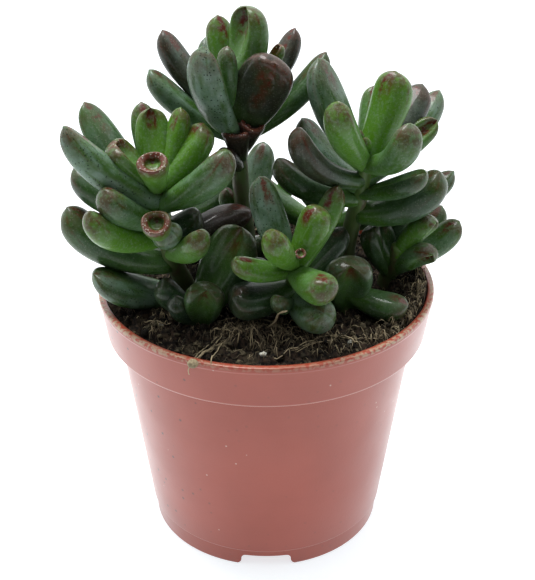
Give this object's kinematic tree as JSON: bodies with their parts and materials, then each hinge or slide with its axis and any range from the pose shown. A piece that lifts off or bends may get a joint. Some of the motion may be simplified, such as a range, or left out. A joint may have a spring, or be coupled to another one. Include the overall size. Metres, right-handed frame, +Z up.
{
  "type": "potted crassula",
  "caption": "Young jade plant with tubular, red-tipped leaves on several stems, in a tapered plastic nursery pot filled with peat.",
  "frame": {"origin": "centre of the circle that the pot stands on, at the height of the table", "axes": "+Z up along the pot's axis, -Y towards the viewer of the plant's best side, +X to that viewer's right"},
  "size_m": [0.1221, 0.105, 0.1701],
  "materials": {
    "pot": "terracotta-coloured polypropylene, satin, a little dusty at the rim",
    "soil": "damp peat with fine fibres, matt",
    "leaf": "fleshy living leaves and green stems with a waxy sheen and red-brown tips"
  },
  "bodies": {
    "root": {"pot": "pot", "soil": "soil", "left_shoot": "leaf", "top_shoot": "leaf", "right_shoot": "leaf", "front_shoot": "leaf", "mid_right_shoot": "leaf", "low_right_shoot": "leaf", "low_left_shoot": "leaf", "back_left_shoot": "leaf", "back_right_shoot": "leaf", "back_low_shoot": "leaf"}
  },
  "joints": []
}
